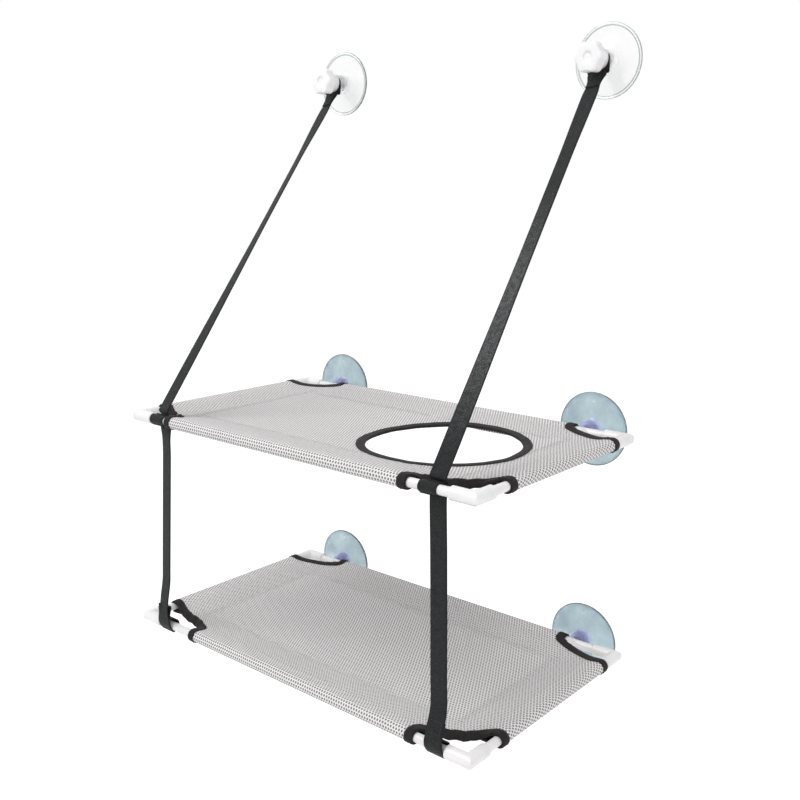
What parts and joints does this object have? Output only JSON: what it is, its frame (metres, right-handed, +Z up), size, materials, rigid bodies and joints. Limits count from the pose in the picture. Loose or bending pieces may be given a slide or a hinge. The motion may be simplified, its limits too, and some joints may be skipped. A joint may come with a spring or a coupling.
{
  "type": "window mounted cat perch",
  "caption": "Tiered window perch for cats: mesh beds on white pipe frames, held by suction cups and webbing straps, that fold up against the glass.",
  "frame": {"origin": "on the window glass, midway between the lower suction cups, level with the lower rear tube", "axes": "+X along the window towards the cat hole's side, +Y into the glass, +Z up"},
  "size_m": [0.5114, 0.3108, 0.7425],
  "materials": {
    "pipe_plastic": "smooth white plastic pipe",
    "knob_plastic": "white moulded plastic, satin",
    "mesh_fabric": "light grey spacer mesh",
    "binding_tape": "black woven edge tape, stitched",
    "webbing": "black woven webbing",
    "tinted_vinyl": "soft blue-grey translucent vinyl",
    "clear_vinyl": "soft clear vinyl",
    "stud_steel": "zinc plated thread"
  },
  "bodies": {
    "window_side": {"upper_rear_tube": "pipe_plastic", "upper_left_cup": "tinted_vinyl", "upper_left_stud": "stud_steel", "upper_right_cup": "tinted_vinyl", "upper_right_stud": "stud_steel", "lower_rear_tube": "pipe_plastic", "lower_left_cup": "tinted_vinyl", "lower_left_stud": "stud_steel", "lower_right_cup": "tinted_vinyl", "lower_right_stud": "stud_steel", "top_left_cup": "clear_vinyl", "top_left_stud": "stud_steel", "upper_strap_left": "webbing", "top_right_cup": "clear_vinyl", "top_right_stud": "stud_steel", "upper_strap_right": "webbing"},
    "upper_tier": {"upper_front_tube": "pipe_plastic", "upper_left_tube": "pipe_plastic", "upper_right_tube": "pipe_plastic", "upper_elbow_front_left": "pipe_plastic", "upper_elbow_front_right": "pipe_plastic", "upper_elbow_rear_left": "pipe_plastic", "upper_elbow_rear_right": "pipe_plastic", "upper_mesh_panel": "mesh_fabric", "upper_binding_front_left": "binding_tape", "upper_binding_front_right": "binding_tape", "upper_binding_rear_left": "binding_tape", "upper_binding_rear_right": "binding_tape", "upper_hole_binding": "binding_tape"},
    "lower_tier": {"lower_front_tube": "pipe_plastic", "lower_left_tube": "pipe_plastic", "lower_right_tube": "pipe_plastic", "lower_elbow_front_left": "pipe_plastic", "lower_elbow_front_right": "pipe_plastic", "lower_elbow_rear_left": "pipe_plastic", "lower_elbow_rear_right": "pipe_plastic", "lower_mesh_panel": "mesh_fabric", "lower_binding_front_left": "binding_tape", "lower_binding_front_right": "binding_tape", "lower_binding_rear_left": "binding_tape", "lower_binding_rear_right": "binding_tape"},
    "drop_straps": {"lower_strap_left": "webbing", "lower_strap_right": "webbing"},
    "upper_left_nut": {"upper_left_nut": "knob_plastic"},
    "upper_right_nut": {"upper_right_nut": "knob_plastic"},
    "lower_left_nut": {"lower_left_nut": "knob_plastic"},
    "lower_right_nut": {"lower_right_nut": "knob_plastic"},
    "top_left_knob": {"top_left_knob": "knob_plastic"},
    "top_right_knob": {"top_right_knob": "knob_plastic"}
  },
  "joints": [
    {"name": "upper_tier_fold", "type": "hinge", "parent": "window_side", "child": "upper_tier", "pos_m": [0, -0.0211, 0.258], "axis": [-1, 0, 0], "range_deg": [0, 75], "deforming": ["upper_strap_left", "upper_strap_right"]},
    {"name": "lower_tier_fold", "type": "hinge", "parent": "window_side", "child": "lower_tier", "pos_m": [0, -0.0211, 0], "axis": [-1, 0, 0], "range_deg": [0, 75]},
    {"name": "drop_strap_swing", "type": "hinge", "parent": "upper_tier", "child": "drop_straps", "pos_m": [0, -0.3031, 0.258], "axis": [-1, 0, 0], "range_deg": [-75, 0]},
    {"name": "top_left_knob_turn", "type": "hinge", "parent": "window_side", "child": "top_left_knob", "pos_m": [-0.193, 0, 0.66], "axis": [0, -1, 0], "continuous": true},
    {"name": "top_right_knob_turn", "type": "hinge", "parent": "window_side", "child": "top_right_knob", "pos_m": [0.193, 0, 0.66], "axis": [0, -1, 0], "continuous": true},
    {"name": "upper_left_nut_turn", "type": "hinge", "parent": "window_side", "child": "upper_left_nut", "pos_m": [-0.196, 0, 0.258], "axis": [0, -1, 0], "continuous": true},
    {"name": "upper_right_nut_turn", "type": "hinge", "parent": "window_side", "child": "upper_right_nut", "pos_m": [0.196, 0, 0.258], "axis": [0, -1, 0], "continuous": true},
    {"name": "lower_left_nut_turn", "type": "hinge", "parent": "window_side", "child": "lower_left_nut", "pos_m": [-0.196, 0, 0], "axis": [0, -1, 0], "continuous": true},
    {"name": "lower_right_nut_turn", "type": "hinge", "parent": "window_side", "child": "lower_right_nut", "pos_m": [0.196, 0, 0], "axis": [0, -1, 0], "continuous": true}
  ],
  "couplings": [
    {"joint": "lower_tier_fold", "follows": "upper_tier_fold", "ratio": 1},
    {"joint": "drop_strap_swing", "follows": "upper_tier_fold", "ratio": -1}
  ]
}
